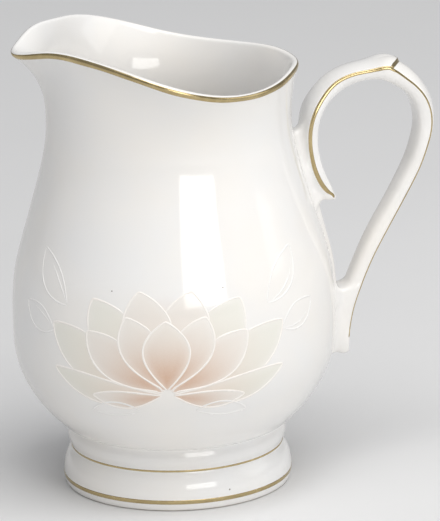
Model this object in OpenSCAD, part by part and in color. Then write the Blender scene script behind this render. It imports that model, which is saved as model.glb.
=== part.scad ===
// Footed porcelain cream jug: cast body with a pouring lip, pedestal foot, high strap
// handle, gilt lines, flower transfer and raised white enamel.
// Millimetres. Origin at the centre of the foot on the table, +X towards the handle,
// -X towards the spout, +Z up. The flower is on the -Y side.

/* [Body] */
// Greatest radius of the belly
belly_r = 40.4; // [36:0.1:46]
// Height of the greatest radius
belly_z = 42; // [38:0.5:46]
// Radius of the neck
neck_r = 30.6; // [28:0.1:34]
// Height where the neck is narrowest
neck_z = 94; // [91:0.5:96]
// Radius of the crease where the belly meets the foot
crease_r = 26.9; // [26.6:0.1:28]
// Wall thickness of the casting
wall = 2.5; // [2:0.1:3]
// Wall thickness at the lip
lip_wall = 1.7; // [1.4:0.1:2.2]
// Thickness of the floor inside
floor_t = 2.6; // [2:0.1:4]

/* [Lip and spout] */
// Height of the lip at the handle
lip_z = 104.2; // [103:0.1:107]
// Height of the highest part of the lip, beside the spout
spout_z = 115.2; // [110:0.1:118]
// Distance of the spout's tip from the axis
spout_reach = 38.9; // [37:0.1:43]

/* [Foot] */
// Height of the foot
foot_h = 15.5; // [15:0.1:16]
// Greatest radius of the foot
foot_r = 28.6; // [28:0.1:30]
// Radius of the waist of the foot
waist_r = 26.6; // [26.2:0.1:26.8]
// Radius of the recess under the foot, at the top
recess_r = 22.5; // [20:0.1:23]

/* [Handle] */
// Width of the strap at the crest
strap_w = 12; // [10:0.1:14]
// Width of the strap where it meets the belly
strap_low_w = 9; // [8:0.1:10]
// Thickness of the strap
strap_t = 3; // [2.6:0.1:3.4]
// How much the outer face of the strap is crowned
crown = 0.6; // [0.3:0.1:1]

/* [Decoration] */
// Thickness of the gilding
gilt_t = 0.12; // [0.1:0.01:0.2]
// Thickness of the flower transfer
transfer_t = 0.12; // [0.1:0.01:0.2]
// Height of the raised enamel lines
enamel_t = 0.25; // [0.2:0.01:0.4]
// Width of the raised enamel lines
enamel_w = 0.6; // [0.5:0.05:0.8]

/* [Hidden] */
$fn = 96;
porcelain = [0.96, 0.955, 0.94];
gold = [0.72, 0.56, 0.25];
peach = [0.93, 0.78, 0.66];
enamel = [0.99, 0.985, 0.97];

NA = 64;        // divisions round the body
NO = 32;        // divisions up the outside
NI = 26;        // divisions down the inside

// ---- smooth curve through a table of [x, y] ----
function seg(t, x, i = 0) = (i >= len(t) - 2 || x <= t[i + 1][0]) ? i : seg(t, x, i + 1);
function slope(t, i) =
    i == 0 ? (t[1][1] - t[0][1]) / (t[1][0] - t[0][0])
    : i == len(t) - 1 ? (t[i][1] - t[i - 1][1]) / (t[i][0] - t[i - 1][0])
    : (t[i + 1][1] - t[i - 1][1]) / (t[i + 1][0] - t[i - 1][0]);
function curve(t, x) =
    let (i = seg(t, x), h = t[i + 1][0] - t[i][0], s = min(1, max(0, (x - t[i][0]) / h)),
         a = slope(t, i) * h, b = slope(t, i + 1) * h, y0 = t[i][1], y1 = t[i + 1][1])
    y0 + s * a + s * s * (3 * (y1 - y0) - 2 * a - b) + s * s * s * (a + b - 2 * (y1 - y0));

// ---- body ----
low_table = [[0, 0], [0.03, 0.11], [0.075, 0.21], [0.13, 0.32], [0.225, 0.49], [0.32, 0.63], [0.43, 0.76], [0.55, 0.87], [0.7, 0.955], [0.85, 0.992], [1, 1]];
high_table = [[0, 1], [0.08, 0.995], [0.27, 0.905], [0.46, 0.64], [0.65, 0.35], [0.77, 0.175], [0.85, 0.083], [0.925, 0.022], [1, 0]];
function profile(z) =
    z <= belly_z ? crease_r + (belly_r - crease_r) * curve(low_table, (z - foot_h) / (belly_z - foot_h))
    : z >= neck_z ? neck_r
    : neck_r + (belly_r - neck_r) * curve(high_table, (z - belly_z) / (neck_z - belly_z));
// lip height and lip flare against the angle from the handle
lift_table = [[-20, 0.17], [0, 0.15], [20, 0.17], [40, 0.11], [60, 0.09], [80, 0.2], [100, 0.51], [120, 0.83], [140, 1], [160, 1.01], [180, 0.8], [200, 1.01]];
flare_table = [[-20, 1.4], [0, 2.2], [20, 1.4], [40, 1], [60, 1.5], [80, 2.9], [100, 4.4], [120, 3.1], [140, 1.9], [160, 4.2], [170, 6.4], [180, 8.3], [190, 6.4]];
function fold(a) = let (b = abs(a) % 360) b > 180 ? 360 - b : b;
function lip_h(a) = lip_z + (spout_z - lip_z) * curve(lift_table, fold(a));
function flare(a) = curve(flare_table, fold(a)) * (fold(a) > 150 ? (spout_reach - neck_r) / 8.3 : 1);
flare_from = 88;
// the lip turns out more sharply at the spout than at the sides
function hook(a) = let (s = min(1, max(0, (fold(a) - 120) / 50))) 3.1 + 0.7 * s * s * (3 - 2 * s);
function surf_r(a, z) =
    let (h = lip_h(a), w = min(1, max(0, (z - flare_from) / (h - flare_from))))
    profile(z) + flare(a) * pow(w, hook(a));
function rise(u) = pow(u, 3.5);
function surf_z(a, u) = foot_h + (lip_z - foot_h) * u + (lip_h(a) - lip_z) * rise(u);
function surf(a, u) = let (z = surf_z(a, u), r = surf_r(a, z)) [r * cos(a), r * sin(a), z];
function unit(v) = v / norm(v);
function surf_n(a, u) =
    let (u0 = max(0.0005, min(0.998, u)))
    unit(cross(surf(a + 0.5, u0) - surf(a - 0.5, u0), surf(a, u0 + 0.0015) - surf(a, max(0, u0 - 0.0015))));
// heights of the rings: close together at the crease and under the lip
function ring_u(i) = let (s = i / NO) 0.86 * s + 0.14 * (s * s * (3 - 2 * s)) - 0.016 * sin(360 * s);
function inner_wall(u) = u < 0.8 ? wall : wall + (lip_wall - wall) * (u - 0.8) / 0.2;

function ring(i) = [for (k = [0 : NA - 1]) let (a = 360 * k / NA) surf(a, ring_u(i))];
// the lip is rounded over from the outside to the inside
function lip_ring(f) = [for (k = [0 : NA - 1]) let (a = 360 * k / NA, n = surf_n(a, 1), p = surf(a, 1), c = p - n * lip_wall / 2,
    up = unit([0, 0, 1] - n * n[2])) c + lip_wall / 2 * (n * cos(f) + up * sin(f))];
function in_pt(a, u) = surf(a, u) - surf_n(a, u) * inner_wall(u);
in_bottom_u = 0.085;
function in_ring(j) = [for (k = [0 : NA - 1]) let (a = 360 * k / NA) in_pt(a, 1 + (in_bottom_u - 1) * j / NI)];
in_low = in_pt(0, in_bottom_u);
floor_z = foot_h + floor_t;
function floor_ring(f, g) = [for (k = [0 : NA - 1]) let (a = 360 * k / NA) [in_low[0] * f * cos(a), in_low[0] * f * sin(a), floor_z + (in_low[2] - floor_z) * g]];

function flat(l) = [for (a = l) for (b = a) b];
function band_faces(n, m, close = true, s = 0) = [for (i = [0 : m - 2]) for (k = [0 : n - (close ? 1 : 2)])
    let (a = s + i * n + k, b = s + i * n + (k + 1) % n, c = a + n, d = b + n) each [[a, c, d], [a, d, b]]];

module body() {
    rings = concat([for (i = [0 : NO]) ring(i)], [for (f = [35, 90, 145]) lip_ring(f)],
        [for (j = [0 : NI]) in_ring(j)],
        [floor_ring(0.95, 0.55), floor_ring(0.86, 0.24), floor_ring(0.7, 0.06), floor_ring(0.35, 0)]);
    m = len(rings);
    pts = concat(flat(rings), [[0, 0, foot_h], [0, 0, floor_z]]);
    lo = m * NA;
    color(porcelain) polyhedron(pts, concat(band_faces(NA, m),
        [for (k = [0 : NA - 1]) [lo, k, (k + 1) % NA]],
        [for (k = [0 : NA - 1]) [lo + 1, (m - 1) * NA + (k + 1) % NA, (m - 1) * NA + k]]), convexity = 8);
}
// the body's outside as one solid block, to cut the handle's joints to it
module body_block() {
    rings = [for (i = [0 : NO]) ring(i)];
    m = len(rings);
    lo = m * NA;
    polyhedron(concat(flat(rings), [[0, 0, foot_h], [0, 0, lip_z]]), concat(band_faces(NA, m),
        [for (k = [0 : NA - 1]) [lo, k, (k + 1) % NA]],
        [for (k = [0 : NA - 1]) [lo + 1, (m - 1) * NA + (k + 1) % NA, (m - 1) * NA + k]]), convexity = 8);
}

// ---- foot ----
band_lo = [foot_r - 0.11, 1.95];
band_mid = [foot_r, 2.5];
band_hi = [foot_r + 0.02, 3.05];
line_lo = [waist_r, 9.75];
line_hi = [waist_r, 10.25];
module foot() {
    color(porcelain) rotate_extrude() polygon([
        [25.4, 0], [foot_r - 1.2, 0], [foot_r - 0.7, 0.25], [foot_r - 0.35, 0.8], band_lo, band_mid, band_hi,
        [foot_r - 0.02, 4.2], [foot_r - 0.15, 5.2], [foot_r - 0.4, 6.3], [foot_r - 0.8, 7.4], [foot_r - 1.3, 8.4],
        [waist_r + 0.2, 9.2], line_lo, line_hi, [waist_r + 0.22, 10.9], [waist_r + 0.5, 11.6], [waist_r + 0.68, 12.4],
        [waist_r + 0.7, 13.2], [waist_r + 0.55, 14], [waist_r + 0.25, 14.8], [waist_r + 0.1, foot_h],
        [recess_r, foot_h], [recess_r, 13.5], [recess_r + 0.4, 9], [recess_r + 1.1, 4.5], [recess_r + 1.9, 1.2], [recess_r + 2.4, 0.3]]);
}
module foot_luting_slip() {
    color(porcelain) rotate_extrude() polygon([[recess_r, foot_h], [recess_r, foot_h - 1.5], [recess_r - 0.25, foot_h - 0.75],
        [recess_r - 0.75, foot_h - 0.25], [recess_r - 1.5, foot_h]]);
}
module foot_gilt_line() {
    color(gold) rotate_extrude() polygon([line_lo, [waist_r + gilt_t, 9.85], [waist_r + gilt_t, 10.15], line_hi]);
}
module foot_gilt_band() {
    color(gold) rotate_extrude() polygon([band_lo, band_lo + [gilt_t, 0.06], band_mid + [gilt_t, 0], band_hi + [gilt_t, -0.06], band_hi, band_mid]);
}

// ---- handle ----
// outer line of the strap in the plane of symmetry, from the spur over the crest to the tail: [x, z, width share, thickness share, crown share]
strap = [
    [40.4, 70.8, 0.62, 0.3, 0.2], [39, 72.4, 0.8, 0.6, 0.4], [37, 75.2, 0.95, 0.83, 0.6], [35.2, 79.3, 1, 0.94, 0.8],
    [34.3, 84.2, 1, 1.02, 0.9], [34.3, 88.8, 1, 1.04, 1], [35.5, 93.2, 1, 1.03, 1], [37.8, 97, 0.9, 1.04, 1], [41.3, 100.6, 0.8, 1.18, 1],
    [46.1, 102.7, 0.82, 1.12, 1.1], [51, 103.4, 0.9, 1.1, 1.4], [55.5, 103.4, 1, 1.3, 1.9], [58.9, 101.3, 1, 1.17, 2.7],
    [62.1, 98.6, 0.95, 1.13, 3], [64.7, 95.3, 0.89, 1.2, 2.8], [66.2, 91.3, 0.85, 1.22, 2.4], [66.4, 87, 0.84, 1.16, 1.9],
    [65.2, 82.3, 0.88, 1, 1.5], [63.2, 77.1, 0.86, 0.95, 1.2], [60.5, 71.7, 0.84, 0.95, 1], [57.2, 66, 0.82, 0.97, 0.9],
    [53.8, 60.1, 0.8, 1.04, 0.9], [50.5, 53.9, 0.78, 1, 0.8], [47.8, 47.6, 0.76, 1.02, 0.8], [45.5, 41.5, 0.75, 1.06, 0.8],
    [44.4, 36, 0.75, 1.05, 0.8], [44, 31.5, 0.74, 1.05, 0.7], [44.1, 30, 0.66, 0.97, 0.4]];
NS = 2;         // steps between two of these stations
function cr(p0, p1, p2, p3, t) = 0.5 * ((2 * p1) + (p2 - p0) * t + (2 * p0 - 5 * p1 + 4 * p2 - p3) * t * t + (3 * p1 - p0 - 3 * p2 + p3) * t * t * t);
ns = (len(strap) - 1) * NS;
function st(q) = let (i = min(len(strap) - 2, max(0, floor(q / NS))), t = q / NS - i,
    p1 = strap[i], p2 = strap[i + 1], p0 = i > 0 ? strap[i - 1] : 2 * p1 - p2, p3 = i < len(strap) - 2 ? strap[i + 2] : 2 * p2 - p1) cr(p0, p1, p2, p3, t);
// outward normal of the outer line
function st_n(q) = let (d = st(min(ns, q + 0.2)) - st(max(0, q - 0.2)), l = norm([d[0], d[1]])) [-d[1] / l, d[0] / l];
function low_share(q) = (strap_low_w / strap_w) / 0.75;
// section of the strap: [share of the half width, share of the thickness]
section = [[-0.84, 0], [-0.45, 0], [0, 0], [0.45, 0], [0.84, 0], [0.96, 0.12], [1, 0.34], [1, 0.64], [0.93, 0.87], [0.76, 0.99],
    [0.35, 1.03], [-0.35, 1.03], [-0.76, 0.99], [-0.93, 0.87], [-1, 0.64], [-1, 0.34], [-0.96, 0.12]];
function strap_width(q) = let (s = st(q)[2]) strap_w * (s >= 0.9 || q < 12 ? s : 0.9 + (s - 0.9) * (0.9 - strap_low_w / strap_w) / 0.15);
function strap_pt(q, i, lift = 0) = let (s = st(q), n = st_n(q), y = section[i][0], d = section[i][1],
    hw = strap_width(q) / 2 + lift * (abs(y) > 0.9 ? 1 : 0),
    depth = d * strap_t * s[3] - (d < 0.5 ? crown * s[4] * (1 - y * y) : 0) - lift * (d < 0.2 ? 1 : d < 0.5 ? 0 : -1))
    [s[0] - n[0] * depth, y * hw, s[1] - n[1] * depth];
function strap_ring(q) = [for (i = [0 : len(section) - 1]) strap_pt(q, i)];
module strap_loop() {
    sn = len(section);
    rings = [for (q = [0 : ns]) strap_ring(q)];
    c0 = (strap_pt(0, 2) + strap_pt(0, 11)) / 2;
    c1 = (strap_pt(ns, 2) + strap_pt(ns, 11)) / 2;
    polyhedron(concat(flat(rings), [c0, c1]), concat(
        [for (f = band_faces(sn, ns + 1)) [f[0], f[2], f[1]]],
        [for (k = [0 : sn - 1]) [(ns + 1) * sn, (k + 1) % sn, k]],
        [for (k = [0 : sn - 1]) [(ns + 1) * sn + 1, ns * sn + k, ns * sn + (k + 1) % sn]]), convexity = 10);
}
// pad that joins the strap to the body: [z, how far it stands out, half width at the top, half width at the body]
pad = [[29.9, 1.4, 2.6, 3.4], [30.6, 2.4, 3.6, 4.6], [32.5, 2.6, 4, 5.2], [37, 2.6, 4.1, 5.4], [42, 3, 4.1, 5.4], [45.8, 4.4, 4.1, 5.5],
    [47.2, 3.6, 3.9, 5.5], [48.2, 1.6, 3.7, 5.5], [50, 0.9, 3.6, 5.5], [56, 0.6, 3.6, 5.6], [62, 0.6, 3.7, 6], [67, 0.8, 4, 6.8],
    [69.6, 1.6, 4.3, 7.4], [70.6, 3, 4.5, 7.6], [71.6, 3.8, 4.7, 7.8], [75, 3.6, 5, 8], [80, 3.3, 5.2, 8], [83, 3.3, 5.2, 7.6],
    [85.4, 3.2, 5.1, 7], [86.8, 2.4, 4.8, 6.4], [87.6, 0.9, 3.8, 5.4]];
pad_section = [[-1, 0, -1], [-1, 0, 0.06], [-0.45, 0.55, 0.34], [0, 1, 0.82], [0, 0.72, 1], [0, 0, 1.05],
    [0, -0.72, 1], [0, -1, 0.82], [0.45, -0.55, 0.34], [1, 0, 0.06], [1, 0, -1]];
function pad_pt(p, i) = let (z = p[0], r = profile(z), e = pad_section[i],
    y = i < 5 ? -(abs(e[0]) * p[3] + abs(e[1]) * p[2]) : i > 5 ? abs(e[0]) * p[3] + abs(e[1]) * p[2] : 0,
    out = e[2] < 0 ? -1.6 : e[2] * p[1]) [sqrt(max(1, r * r - y * y)) + out, y, z];
module pad_solid() {
    n = len(pad_section);
    rings = [for (p = pad) [for (i = [0 : n - 1]) pad_pt(p, i)]];
    m = len(pad);
    polyhedron(flat(rings), concat([for (f = band_faces(n, m)) f],
        [for (k = [1 : n - 2]) [0, k, k + 1]], [for (k = [1 : n - 2]) [(m - 1) * n, (m - 1) * n + k + 1, (m - 1) * n + k]]), convexity = 8);
}
module handle() {
    color(porcelain) resize([0, 0, 0]) difference() {
        union() { strap_loop(); pad_solid(); }
        body_block();
    }
}
// thin lens of slip squeezed out round a joint: z range, half width, height in the middle
module slip_lens(z0, z1, hw, h) {
    n = 8; m = 8;
    function top(i, k) = let (z = z0 + (z1 - z0) * i / m, t = 2 * i / m - 1, w = hw * sqrt(max(0.04, 1 - t * t * 0.96)), y = w * (2 * k / n - 1),
        hh = h * (1 - pow(abs(2 * k / n - 1), 2)) * (1 - t * t), r = profile(z)) [sqrt(r * r - y * y) + hh, y, z];
    function low(i, k) = top(i, k) - [1.2 + h * (1 - pow(abs(2 * k / n - 1), 2)) * (1 - pow(2 * i / m - 1, 2)), 0, 0];
    tops = [for (i = [0 : m]) for (k = [0 : n]) top(i, k)];
    lows = [for (i = [0 : m]) for (k = [0 : n]) low(i, k)];
    s = (n + 1) * (m + 1);
    edge = concat([for (k = [0 : n - 1]) k], [for (i = [0 : m - 1]) i * (n + 1) + n], [for (k = [n : -1 : 1]) m * (n + 1) + k], [for (i = [m : -1 : 1]) i * (n + 1)]);
    polyhedron(concat(tops, lows), concat(
        [for (i = [0 : m - 1]) for (k = [0 : n - 1]) let (a = i * (n + 1) + k) each [[a, a + n + 1, a + n + 2], [a, a + n + 2, a + 1]]],
        [for (i = [0 : m - 1]) for (k = [0 : n - 1]) let (a = s + i * (n + 1) + k) each [[a, a + n + 2, a + n + 1], [a, a + 1, a + n + 2]]],
        [for (e = [0 : len(edge) - 1]) let (a = edge[e], b = edge[(e + 1) % len(edge)]) each [[a, b, b + s], [a, b + s, a + s]]]), convexity = 4);
}
module upper_luting_slip() {
    color(porcelain) resize([0, 0, 0]) difference() {
        slip_lens(68.5, 88.8, 10.5, 1.1);
        body_block();
        pad_solid();
        strap_loop();
    }
}
module lower_luting_slip() {
    color(porcelain) resize([0, 0, 0]) difference() {
        slip_lens(28.6, 50.5, 7.8, 1.1);
        body_block();
        pad_solid();
        strap_loop();
    }
}

// ---- gilding ----
// a closed thin strip on two equal grids of points: rows across, n points along
function sheet_faces(n, m, loop) = let (s = n * m) concat(
    [for (i = [0 : m - 2]) for (k = [0 : n - (loop ? 1 : 2)]) let (a = i * n + k, b = i * n + (k + 1) % n) each [[a, a + n, b + n], [a, b + n, b]]],
    [for (i = [0 : m - 2]) for (k = [0 : n - (loop ? 1 : 2)]) let (a = s + i * n + k, b = s + i * n + (k + 1) % n) each [[a, b + n, a + n], [a, b, b + n]]],
    [for (k = [0 : n - (loop ? 1 : 2)]) let (a = k, b = (k + 1) % n) each [[a, b, b + s], [a, b + s, a + s]]],
    [for (k = [0 : n - (loop ? 1 : 2)]) let (a = (m - 1) * n + k, b = (m - 1) * n + (k + 1) % n) each [[a, b + s, b], [a, a + s, b + s]]],
    loop ? [] : [for (i = [0 : m - 2]) let (a = i * n, b = a + n) each [[a, b + s, b], [a, a + s, b + s]]],
    loop ? [] : [for (i = [0 : m - 2]) let (a = i * n + n - 1, b = a + n) each [[a, b, b + s], [a, b + s, a + s]]]);
module lip_gilt_line() {
    u0 = 0.991;
    // the line lies on the outside of the lip and stops short of its top
    function low(k) = let (a = 360 * k / NA, p = surf(a, ring_u(NO - 1)), q = surf(a, 1)) p + (q - p) * (1 - (1 - u0) / (1 - ring_u(NO - 1)));
    lows = [[for (k = [0 : NA - 1]) low(k)], ring(NO), lip_ring(35)];
    outs = [for (r = lows) [for (k = [0 : NA - 1]) r[k] + surf_n(360 * k / NA, 1) * gilt_t]];
    color(gold) polyhedron(concat(flat(outs), flat(lows)), sheet_faces(NA, 3, true), convexity = 6);
}
module arris(side) {
    q0 = 2; q1 = ns - 3; n = q1 - q0 + 1;
    ids = side < 0 ? [0, 16, 15] : [6, 5, 4];
    base = [for (i = ids) [for (q = [q0 : q1]) strap_pt(q, i)]];
    lift = [for (i = ids) [for (q = [q0 : q1]) strap_pt(q, i, gilt_t)]];
    color(gold) polyhedron(concat(flat(lift), flat(base)), [for (f = sheet_faces(n, 3, false)) [f[0], f[2], f[1]]], convexity = 10);
}
module handle_gilt_front() { arris(-1); }
module handle_gilt_back() { arris(1); }
crest_q = 22;
module crest_gilt_mark() {
    // a chevron over the crest with its point on the outside of the bend
    pts = [for (q = [0, 1]) [for (i = [0 : 4]) let (y = section[i][0], qq = crest_q + 0.45 * q + 1.9 * (1 - abs(y) / 0.84), s = st(qq), n = st_n(qq), hw = strap_width(qq) / 2,
        d = -crown * s[4] * (1 - y * y)) [s[0] - n[0] * d, y * hw, s[1] - n[1] * d]]];
    up = [for (q = [0, 1]) [for (i = [0 : 4]) let (n = st_n(crest_q + 1)) pts[q][i] + [n[0], 0, n[1]] * (gilt_t + 0.05)]];
    dn = [for (q = [0, 1]) [for (i = [0 : 4]) let (n = st_n(crest_q + 1)) pts[q][i] - [n[0], 0, n[1]] * 0.05]];
    color(gold) polyhedron(concat(flat(up), flat(dn)), [for (f = sheet_faces(5, 2, false)) [f[0], f[2], f[1]]], convexity = 4);
}

// ---- flower ----
// point of the outside at an angle and height, with a distance above the surface
function on(a, z, h) = let (r = surf_r(a, z)) [(r + h) * cos(a), (r + h) * sin(a), z];
// a petal from its root to its tip: [root angle, root z, tip angle, tip z, widest half width, where, bend]
petals = [
    [256, 42, 222, 60, 9, 0.55, 3], [255, 40, 212, 49, 8, 0.5, -2], [255, 37, 222, 36, 6, 0.5, 1],
    [256, 38, 242, 61, 8.5, 0.55, 1], [260, 38, 268, 61, 9, 0.5, -1], [261, 38, 288, 58, 9, 0.55, -2],
    [262, 37, 298, 46, 7.5, 0.5, 2], [260, 36, 292, 35, 5.5, 0.5, 1], [258, 39, 252, 28, 6, 0.6, 1]];
function petal_w(t, at) = let (s = t < at ? t / at : 1 - (t - at) / (1 - at)) t < at ? 0.12 + 0.88 * sin(90 * s) : sqrt(max(0.004, 1 - (1 - s) * (1 - s)));
function petal_pt(p, t, v, h) = let (a = p[0] + (p[2] - p[0]) * t, z = p[1] + (p[3] - p[1]) * t, r = surf_r(a, z),
    dx = (p[2] - p[0]) * 0.7, dz = p[3] - p[1], l = norm([dx, dz]), w = p[4] * petal_w(t, p[5]) * v + p[6] * sin(180 * t))
    on(a - dz / l * w / r * 57.3, z + dx / l * w, h);
// the transfer is one thin sheet with the flower's outline: [direction, reach] from its centre
flower_a = 255;
flower_z = 44.5;
reach = [[-15, 27], [0, 27], [20, 29], [40, 24], [60, 19.5], [75, 16], [90, 15], [110, 16.5], [130, 19], [150, 25], [165, 28], [180, 27],
    [200, 31], [215, 23], [235, 15], [260, 13.5], [272, 17], [288, 15], [305, 13], [325, 19], [345, 27], [360, 27], [380, 29]];
module flower_transfer() {
    n = 44; m = 6;
    function at(i, k, h) = let (f = 360 * k / n, r = curve(reach, f) * i / m, z = flower_z + r * sin(f)) on(flower_a + r * cos(f) / 38.5 * 57.3, z, h);
    rows = [for (i = [m : -1 : 1]) [for (k = [0 : n - 1]) at(i, k, transfer_t)]];
    low = [for (i = [m : -1 : 1]) [for (k = [0 : n - 1]) at(i, k, -0.04)]];
    s = n * m;
    caps = [for (k = [0 : n - 1]) each [[(m - 1) * n + k, 2 * s, (m - 1) * n + (k + 1) % n], [s + (m - 1) * n + k, s + (m - 1) * n + (k + 1) % n, 2 * s + 1]]];
    sides = [for (k = [0 : n - 1]) let (a = k, b = (k + 1) % n) each [[a, b, b + s], [a, b + s, a + s]]];
    tops = [for (i = [0 : m - 2]) for (k = [0 : n - 1]) let (a = i * n + k, b = i * n + (k + 1) % n) each [[a, a + n, b + n], [a, b + n, b]]];
    lows = [for (i = [0 : m - 2]) for (k = [0 : n - 1]) let (a = s + i * n + k, b = s + i * n + (k + 1) % n) each [[a, b + n, a + n], [a, b, b + n]]];
    color(peach) polyhedron(concat(flat(rows), flat(low), [at(0, 0, transfer_t), at(0, 0, -0.04)]), concat(tops, lows, sides, caps), convexity = 4);
}
// a raised line through points [angle, z]
module raised(pts) {
    n = len(pts);
    function d(i) = let (a = pts[max(0, i - 1)], b = pts[min(n - 1, i + 1)], r = 40, v = [(b[0] - a[0]) * r / 57.3, b[1] - a[1]]) v / norm(v);
    rows = [for (s = [-1, 0, 1]) [for (i = [0 : n - 1]) let (v = d(i), w = enamel_w / 2 * s, r = surf_r(pts[i][0], pts[i][1]))
        on(pts[i][0] - v[1] * w / r * 57.3, pts[i][1] + v[0] * w, s == 0 ? enamel_t : 0.14)]];
    low = [for (s = [-1, 0, 1]) [for (i = [0 : n - 1]) let (v = d(i), w = enamel_w / 2 * s, r = surf_r(pts[i][0], pts[i][1]))
        on(pts[i][0] - v[1] * w / r * 57.3, pts[i][1] + v[0] * w, -0.06)]];
    polyhedron(concat(flat(rows), flat(low)), sheet_faces(n, 3, false), convexity = 6);
}
function edge_of(p, side, n) = [for (i = [0 : n]) let (t = 0.06 + 0.93 * i / n, q = petal_pt(p, t, side * 0.98, 0)) [atan2(q[1], q[0]) + 360, q[2]]];
module petal_enamel() {
    color(enamel) for (p = petals) for (s = [-1, 1]) raised(edge_of(p, s, 6));
}
// leaves drawn in white line only, beside the flower
leaves = [[238, 59, 209, 71, 4.5, 0.5, 1], [241, 60, 231, 76, 4, 0.5, -1], [226, 52, 203, 58, 4, 0.5, 1], [244, 33, 226, 27, 3.5, 0.5, 1],
    [276, 60, 296, 69, 4, 0.5, -1], [292, 54, 310, 61, 4, 0.5, 1]];
module leaf_enamel() {
    color(enamel) for (p = leaves) for (s = [-1, 1]) raised(edge_of(p, s, 6));
}

body();
foot();
handle();
foot_luting_slip();
upper_luting_slip();
lower_luting_slip();
lip_gilt_line();
foot_gilt_line();
foot_gilt_band();
handle_gilt_front();
handle_gilt_back();
crest_gilt_mark();
flower_transfer();
petal_enamel();
leaf_enamel();
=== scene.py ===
import math

import bpy
import numpy as np
from mathutils import Matrix, Vector


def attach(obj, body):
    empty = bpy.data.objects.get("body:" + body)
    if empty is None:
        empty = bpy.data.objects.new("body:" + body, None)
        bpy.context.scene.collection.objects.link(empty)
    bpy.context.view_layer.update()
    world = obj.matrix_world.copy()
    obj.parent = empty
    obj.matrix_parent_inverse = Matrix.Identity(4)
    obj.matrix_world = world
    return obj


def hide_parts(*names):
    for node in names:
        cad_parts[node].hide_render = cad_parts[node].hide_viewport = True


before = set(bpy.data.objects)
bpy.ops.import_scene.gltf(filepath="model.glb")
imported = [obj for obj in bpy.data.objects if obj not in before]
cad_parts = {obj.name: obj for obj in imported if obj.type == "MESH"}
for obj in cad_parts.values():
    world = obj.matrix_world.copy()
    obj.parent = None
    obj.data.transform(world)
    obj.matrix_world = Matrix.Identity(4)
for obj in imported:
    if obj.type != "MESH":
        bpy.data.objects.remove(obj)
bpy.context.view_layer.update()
MM = 0.001

# ---------------------------------------------------------------- curves

class Spline:
    """Natural or clamped cubic through (x, y); y can have several columns."""

    def __init__(self, x, y, clamp0=None, clamp1=None):
        x = np.asarray(x, float)
        y = np.asarray(y, float)
        self.flat = y.ndim == 1
        if self.flat:
            y = y[:, None]
        n = len(x)
        h = np.diff(x)
        a = np.zeros((n, n))
        b = np.zeros((n, y.shape[1]))
        for i in range(1, n - 1):
            a[i, i - 1], a[i, i], a[i, i + 1] = h[i - 1], 2 * (h[i - 1] + h[i]), h[i]
            b[i] = 6 * ((y[i + 1] - y[i]) / h[i] - (y[i] - y[i - 1]) / h[i - 1])
        if clamp0 is None:
            a[0, 0] = 1
        else:
            a[0, 0], a[0, 1] = 2 * h[0], h[0]
            b[0] = 6 * ((y[1] - y[0]) / h[0] - clamp0)
        if clamp1 is None:
            a[-1, -1] = 1
        else:
            a[-1, -1], a[-1, -2] = 2 * h[-1], h[-1]
            b[-1] = 6 * (clamp1 - (y[-1] - y[-2]) / h[-1])
        self.x, self.y, self.h, self.m = x, y, h, np.linalg.solve(a, b)

    def __call__(self, t):
        t = np.asarray(t, float)
        tt = np.clip(t.ravel(), self.x[0], self.x[-1])
        i = np.clip(np.searchsorted(self.x, tt, side="right") - 1, 0, len(self.h) - 1)
        h = self.h[i][:, None]
        u = (tt - self.x[i])[:, None]
        v = (self.x[i + 1] - tt)[:, None]
        m0, m1, y0, y1 = self.m[i], self.m[i + 1], self.y[i], self.y[i + 1]
        out = (m0 * v**3 + m1 * u**3) / (6 * h) + (y0 / h - m0 * h / 6) * v + (y1 / h - m1 * h / 6) * u
        out = out[:, 0] if self.flat else out
        return out.reshape(t.shape if self.flat else t.shape + (out.shape[-1],))


def chord_spline(points):
    p = np.asarray(points, float)
    d = np.r_[0, np.cumsum(np.linalg.norm(np.diff(p[:, :2], axis=0), axis=1))]
    return Spline(d, p), d[-1]


# ---------------------------------------------------------------- the jug's design, as in the CAD source (mm)

BELLY_R, BELLY_Z, NECK_R, NECK_Z, CREASE_R = 40.4, 42.0, 30.57, 94.0, 26.9
FOOT_H, WALL, LIP_WALL, FLOOR_T = 15.5, 2.5, 1.7, 2.6
LIP_Z, SPOUT_Z, REACH = 104.2, 115.2, 40.3
LOW = [[0, 0], [0.03, 0.11], [0.075, 0.21], [0.13, 0.32], [0.225, 0.49], [0.32, 0.63], [0.43, 0.76], [0.55, 0.87], [0.7, 0.955], [0.85, 0.992], [1, 1]]
HIGH = [[0, 1], [0.08, 0.995], [0.27, 0.905], [0.46, 0.64], [0.65, 0.35], [0.77, 0.175], [0.85, 0.083], [0.925, 0.022], [1, 0]]
prof_pts = [[FOOT_H + (BELLY_Z - FOOT_H) * a, CREASE_R + (BELLY_R - CREASE_R) * b] for a, b in LOW]
prof_pts += [[BELLY_Z + (NECK_Z - BELLY_Z) * a, NECK_R + (BELLY_R - NECK_R) * b] for a, b in HIGH[1:]]
prof_pts += [[NECK_Z + 8, NECK_R], [NECK_Z + 30, NECK_R]]
profile = Spline([p[0] for p in prof_pts], [p[1] for p in prof_pts])
LIFT = {0: 0.15, 20: 0.17, 40: 0.11, 60: 0.09, 80: 0.205, 100: 0.51, 120: 0.835, 140: 1, 160: 1.015, 180: 0.8}
FLARE = {0: 2.25, 20: 1.4, 40: 1.05, 60: 1.5, 80: 2.9, 100: 4.4, 120: 3.1, 140: 1.9, 160: 4.25, 170: 6.45, 180: 8.3}


def even(table):
    k = sorted(table)
    return Spline(k, [table[i] for i in k], 0.0, 0.0)


lift_f, flare_f = even(LIFT), even(FLARE)


def fold(a):
    b = np.abs(a) % 360
    return np.where(b > 180, 360 - b, b)


def lip_h(a):
    return LIP_Z + (SPOUT_Z - LIP_Z) * lift_f(fold(a))


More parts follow.
